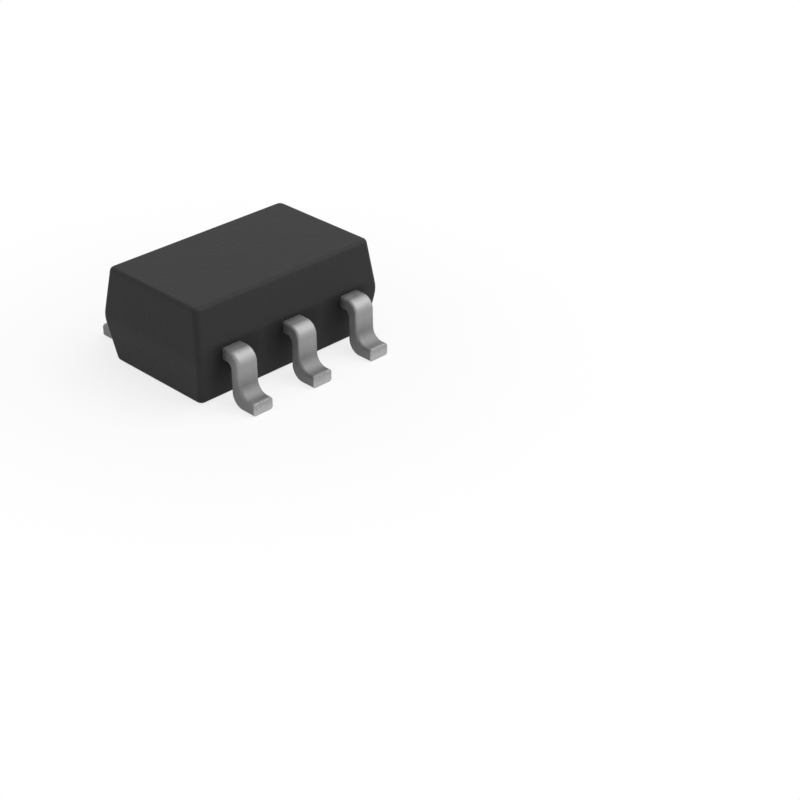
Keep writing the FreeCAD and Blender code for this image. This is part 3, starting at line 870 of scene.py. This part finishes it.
def make_leads():
    """The six leads at their places, by name. Those on the near side point the other way."""
    tree = lead_form()
    wing = as_piece("wing", wing_mesh)
    sizes = {"Thickness": STRIP_THICKNESS, "Strip bottom": corner_high.z - STRIP_THICKNESS}
    leads = {}
    for number, (name, loops) in enumerate(FINGERS.items()):
        near_side = number < 3
        slot = number - 1 if near_side else 4 - number
        mesh = run_form(tree, {**sizes, "Wing": wing, "Material": TIN}, start=outline_mesh(loops))
        turn = Matrix.Rotation(math.pi if near_side else 0.0, 4, "Z")
        mesh.transform(Matrix.Translation((slot * LEAD_PITCH, 0, 0)) @ turn)
        inspect_mesh(name, mesh)
        leads[name] = mesh
    bpy.data.objects.remove(wing)
    return leads


lead_meshes = make_leads()

# %% [markdown]
# Gold wires a quarter as thick as a hair carry each signal from the silicon to its finger. The machine
# melts a ball at the wire's end, presses it on the silicon, rises, swings over in a loop and rubs the other
# end flat on the lead. Its path is drawn as the gull wing's outlines are, through four corners, two of them
# rounded, and its section is round. The ball and the flattened stitch are short columns whose width changes
# on the way up, and all three are joined to one skin.

# %% Sizes and places of the bond wires
PAD_INSET = 0.09
PAD_ROW = 0.24
STITCH_INSET = 0.07
ROUND_POINTS = 16
COLUMN_STATIONS = 7

wire_sizes = {
    "Wire diameter": 0.025,
    "Ball diameter": 0.07,
    "Ball height": 0.02,
    "Stitch diameter": 0.06,
    "Stitch height": 0.018,
    "Rise": 0.07,
    "Crest run": 0.07,
    "Loop height": 0.1,
    "End height": 0.014,
    "Kink radius": 0.05,
    "Drop": die_high.z - corner_high.z,
}
pad = Vector((die_high.x - PAD_INSET, PAD_ROW, die_high.z))
stitch = Vector((LEAD_PITCH - half_lead + STITCH_INSET, (finger_tip + FLARE_START) / 2, die_high.z))
middle_pad = Vector((0, die_high.y - PAD_INSET, die_high.z))
tee_stitch = Vector((0, tee_low.y + STITCH_INSET, die_high.z))
tongue_stitch = Vector((0, paddle_high.y + STITCH_INSET, die_high.z))


def mirrored(point, x_sign, y_sign):
    return Vector((point.x * x_sign, point.y * y_sign, point.z))


WIRES = {
    "bond_wire_1": (mirrored(pad, -1, -1), mirrored(stitch, -1, -1)),
    "bond_wire_2": (mirrored(middle_pad, 1, -1), mirrored(tongue_stitch, 1, -1)),
    "bond_wire_3": (mirrored(pad, 1, -1), mirrored(stitch, 1, -1)),
    "bond_wire_4": (pad, stitch),
    "bond_wire_5": (middle_pad, tee_stitch),
    "bond_wire_6": (mirrored(pad, -1, 1), mirrored(stitch, -1, 1)),
}
print({name: round((end - start).length, 3) for name, (start, end) in WIRES.items()})

# %% The bond wire, as a tree
def round_section(nodes, radius):
    inputs = {"Resolution": ROUND_POINTS, "Radius": radius}
    return nodes.add("GeometryNodeCurvePrimitiveCircle", {}, inputs)


def column(nodes, y, z, height, diameter, widest, taper):
    """An upright button of metal that is widest at a share of its height and tapers away from there."""
    start = nodes.add("ShaderNodeCombineXYZ", {}, {"Y": y, "Z": z})
    end = nodes.add("ShaderNodeCombineXYZ", {}, {"Y": y, "Z": z + height})
    line = nodes.add("GeometryNodeCurvePrimitiveLine", {}, {"Start": start, "End": end})
    line = nodes.add("GeometryNodeResampleCurve", {}, {"Curve": line, "Count": COLUMN_STATIONS})
    off = nodes.add("GeometryNodeSplineParameter", {}, {}, "Factor") - widest
    inputs = {
        "Curve": line,
        "Profile Curve": round_section(nodes, diameter / 2),
        "Scale": 1 - taper * off * off,
        "Fill Caps": True,
    }
    return nodes.add("GeometryNodeCurveToMesh", {}, inputs)


def wire_form():
    nodes, given = new_form("bond_wire", [*wire_sizes, "Span"])
    start_height = given["Ball height"] / 2
    drop, span = given["Drop"], given["Span"]
    stops = [
        (0, start_height),
        (0, given["Rise"]),
        (given["Crest run"], given["Loop height"]),
        (span, given["End height"] - drop),
    ]
    path = bent_outline(nodes, stops, given["Kink radius"], given["Kink radius"])
    section = round_section(nodes, given["Wire diameter"] / 2)
    loop = nodes.add(
        "GeometryNodeCurveToMesh", {}, {"Curve": path, "Profile Curve": section, "Fill Caps": True}
    )
    ball = column(nodes, 0, 0, given["Ball height"], given["Ball diameter"], widest=0.4, taper=0.9)
    foot = column(
        nodes, span, 0 - drop, given["Stitch height"], given["Stitch diameter"], widest=0.0, taper=0.7
    )
    settings = {"operation": "UNION", "solver": "MANIFOLD"}
    wire = nodes.add("GeometryNodeMeshBoolean", settings, {"Mesh 2": [loop, ball, foot]})
    return close_form(nodes, wire, given["Material"])


def make_wires():
    """The six wires at their places, by name, each turned from +Y to its own heading."""
    tree = wire_form()
    wires = {}
    for name, (start, end) in WIRES.items():
        run = end - start
        mesh = run_form(tree, {**wire_sizes, "Span": run.length, "Material": GOLD})
        heading = math.atan2(run.y, run.x) - math.pi / 2
        mesh.transform(Matrix.Translation(start) @ Matrix.Rotation(heading, 4, "Z"))
        inspect_mesh(name, mesh)
        wires[name] = mesh
    return wires


wire_meshes = make_wires()

# %% [markdown]
# Epoxy flows round everything before it sets, so the inside of the real body is an exact cast of the leads,
# the silicon and the wires. The body's mesh gets the same inside: each piece is subtracted from it. That
# also gives every lead a true opening in the wall to come out of.

# %% Cast the body round what it holds
def copied_in_mm(node):
    """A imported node's mesh in millimetres, as one skin instead of loose triangles."""
    skin = bmesh.new()
    skin.from_mesh(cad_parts[node].data)
    bmesh.ops.scale(skin, vec=(1 / MM, 1 / MM, 1 / MM), verts=skin.verts)
    bmesh.ops.remove_doubles(skin, verts=skin.verts, dist=JOIN_WITHIN)
    mesh = bpy.data.meshes.new(node)
    skin.to_mesh(mesh)
    skin.free()
    return mesh


def cast_round(mesh, held):
    """The mesh with room cut in it for every held mesh."""
    body = as_piece("casting", mesh)
    cores = [as_piece(name, core) for name, core in held.items()]
    for core in cores:
        room = body.modifiers.new(core.name, "BOOLEAN")
        room.operation = "DIFFERENCE"
        room.solver = "MANIFOLD"
        room.object = core
    cast = take_mesh(body)
    for core in cores:
        bpy.data.objects.remove(core)
    return cast


held = {**lead_meshes, **wire_meshes}
held["silicon"] = copied_in_mm("silicon_die")
held["adhesive"] = copied_in_mm("die_attach")
cast_mesh = cast_round(body_mesh, held)
inspect_mesh("cast body", cast_mesh)

# %% [markdown]
# Every mesh is finished the same way. Edges that turn sharply are marked, so that shading stops there, and
# a weighted normal keeps large flat faces flat while the small faces of the rounded edges take up the turn.
# The openings for the leads would upset that on the body's walls. So its outer skin takes its shading from
# the body as it was before the cuts. Then the mesh is scaled to metres. Its object stays at the origin, it
# rides on the imported body, and the imported node it stands in for is hidden.

# %% Put the pieces in place
SKIN_DEPTH = 0.002


def keep_flat(piece):
    piece.modifiers.new("flat faces stay flat", "WEIGHTED_NORMAL").keep_sharp = True


def shade_like(piece, whole):
    """Shade the outer skin of a piece as the whole mesh that it was cut from is shaded."""
    copying = piece.modifiers.new("uncut shading", "DATA_TRANSFER")
    copying.object = whole
    copying.use_loop_data = True
    copying.data_types_loops = {"CUSTOM_NORMAL"}
    copying.loop_mapping = "POLYINTERP_NEAREST"
    copying.use_max_distance = True
    copying.max_distance = SKIN_DEPTH


def finish_mesh(name, mesh, uncut=None):
    """A finished piece of a mesh, shaded like the uncut mesh if there is one."""
    mesh.set_sharp_from_angle(angle=math.radians(SHARP_TURN))
    piece = as_piece(name, mesh)
    keep_flat(piece)
    if uncut:
        whole = as_piece("whole", uncut)
        keep_flat(whole)
        shade_like(piece, whole)
    finished = take_mesh(piece)
    if uncut:
        bpy.data.objects.remove(whole)
    finished.name = name
    finished.transform(Matrix.Scale(MM, 4))
    return as_piece(name, finished)


def show(name, mesh, node, uncut=None):
    """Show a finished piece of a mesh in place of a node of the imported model."""
    piece = finish_mesh(name, mesh, uncut)
    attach(piece, "root")
    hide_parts(node)


show("epoxy_body", cast_mesh, "moulded_body", uncut=body_mesh)
for name, mesh in lead_meshes.items():
    show(name.replace("lead", "formed_lead"), mesh, name)
for name, mesh in wire_meshes.items():
    show(name.replace("bond", "looped"), mesh, name)
for node, material in (("silicon_die", SILICON), ("die_attach", ADHESIVE)):
    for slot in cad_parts[node].material_slots:
        slot.material = material
    print(f"{node}: {len(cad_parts[node].material_slots)} material slot")

# %% [markdown]
# The photograph has a white ground with no horizon. Lighting a floor until it is white would bleach the
# chip too. So the floor is lit plainly, and its material adds a share of pure white, but only for rays
# that show the floor: those from the camera, and those that a surface mirrors. The rest is the floor's true
# shading, which keeps the soft shadow by the chip. Farther out there is no shadow to keep, and the share
# rises to 1, so the floor meets the white surroundings without a line. Seen from below, the floor is clear,
# so that the underside can be looked at.

# %% Floor and surroundings
FLOOR_SIDE = 3000.0
FLOOR_COLOUR = grey(0.95)
WHITE = grey(1.0)
WHITE_FOR_CAMERA = 0.78
WHITE_FOR_MIRRORS = 0.6
SHADOW_REACH = 1.6
WHITE_BEYOND = 5.5
AMBIENT = 0.5


def seen_directly(nodes, camera_share, mirror_share):
    """One share where the camera sees the thing, another where gloss or glass shows it, and else 0."""
    camera = nodes.add("ShaderNodeLightPath", {}, {}, "Is Camera Ray")
    gloss = camera.other("Is Glossy Ray")
    mirrored = gloss.math("MAXIMUM", gloss, camera.other("Is Transmission Ray"))
    return camera * camera_share + mirrored * mirror_share


def floor_material():
    material = bpy.data.materials.new("white_ground")
    material.use_nodes = True
    tree = material.node_tree
    tree.nodes.clear()
    nodes = Nodes(tree)
    lit = nodes.add("ShaderNodeBsdfDiffuse", {}, {"Color": FLOOR_COLOUR})
    white = nodes.add("ShaderNodeEmission", {}, {"Color": WHITE, "Strength": 1.0})
    away = nodes.add("ShaderNodeVectorMath", {"operation": "LENGTH"}, {0: place_in_mm(nodes)}, "Value")
    faded = between(nodes, away, SHADOW_REACH, WHITE_BEYOND)
    for_camera = WHITE_FOR_CAMERA + (1 - WHITE_FOR_CAMERA) * faded
    share = seen_directly(nodes, for_camera, WHITE_FOR_MIRRORS)
    ground = nodes.add("ShaderNodeMixShader", {}, {0: share, 1: lit, 2: white})
    clear = nodes.add("ShaderNodeBsdfTransparent", {}, {})
    below = nodes.add("ShaderNodeNewGeometry", {}, {}, "Backfacing")
    both = nodes.add("ShaderNodeMixShader", {}, {0: below, 1: ground, 2: clear})
    nodes.add("ShaderNodeOutputMaterial", {}, {"Surface": both})
    return material


def add_floor():
    """A square floor. The chip stands off its middle, clear of the diagonal along which it is rendered."""
    left, right, half = -FLOOR_SIDE * MM / 3, FLOOR_SIDE * MM * 2 / 3, FLOOR_SIDE * MM / 2
    corners = [(left, -half, 0), (right, -half, 0), (right, half, 0), (left, half, 0)]
    mesh = bpy.data.meshes.new("ground")
    mesh.from_pydata(corners, [], [range(4)])
    mesh.materials.append(floor_material())
    as_piece("ground", mesh)


def set_surroundings():
    world = bpy.data.worlds.new("studio")
    world.use_nodes = True
    world.node_tree.nodes.clear()
    nodes = Nodes(world.node_tree)
    strength = AMBIENT + seen_directly(nodes, 1 - AMBIENT, 1 - AMBIENT)
    sky = nodes.add("ShaderNodeBackground", {}, {"Color": WHITE, "Strength": strength})
    nodes.add("ShaderNodeOutputWorld", {}, {"Surface": sky})
    bpy.context.scene.world = world


add_floor()
set_surroundings()

# %% [markdown]
# One broad softbox hangs above the chip, a little to the front right. It gives the top its even grey and
# rolls a highlight over the shoulder of each lead. A lamp's power spreads over its area, so the helper asks
# for a brightness, which is what a mirror would show, and works out the power. The levels are chosen so
# that a plain sheet on the floor renders at about its own colour.

# %% Lights
SOFTBOX_PLACE = (46.0, -48.0, 86.0)
SOFTBOX_SIDE = 125.0
SOFTBOX_BRIGHTNESS = 1.85


def add_softbox(name, place, side, brightness):
    lamp = bpy.data.lights.new(name, "AREA")
    lamp.shape = "SQUARE"
    lamp.size = side * MM
    lamp.energy = brightness * math.pi * lamp.size**2
    holder = bpy.data.objects.new(name, lamp)
    aim = Vector((0, 0, body_high.z / 2)) - Vector(place)
    turn = aim.to_track_quat("-Z", "Y").to_matrix().to_4x4()
    holder.matrix_world = Matrix.Translation(Vector(place) * MM) @ turn
    bpy.context.scene.collection.objects.link(holder)
    print(f"{name}: {lamp.energy * 1000:.2f} mW")


add_softbox("overhead_softbox", SOFTBOX_PLACE, SOFTBOX_SIDE, SOFTBOX_BRIGHTNESS)

# %% [markdown]
# The picture's tones are shown as they are, with no film look over them.

# %% Show the tones as they are
bpy.context.scene.view_settings.view_transform = "Standard"
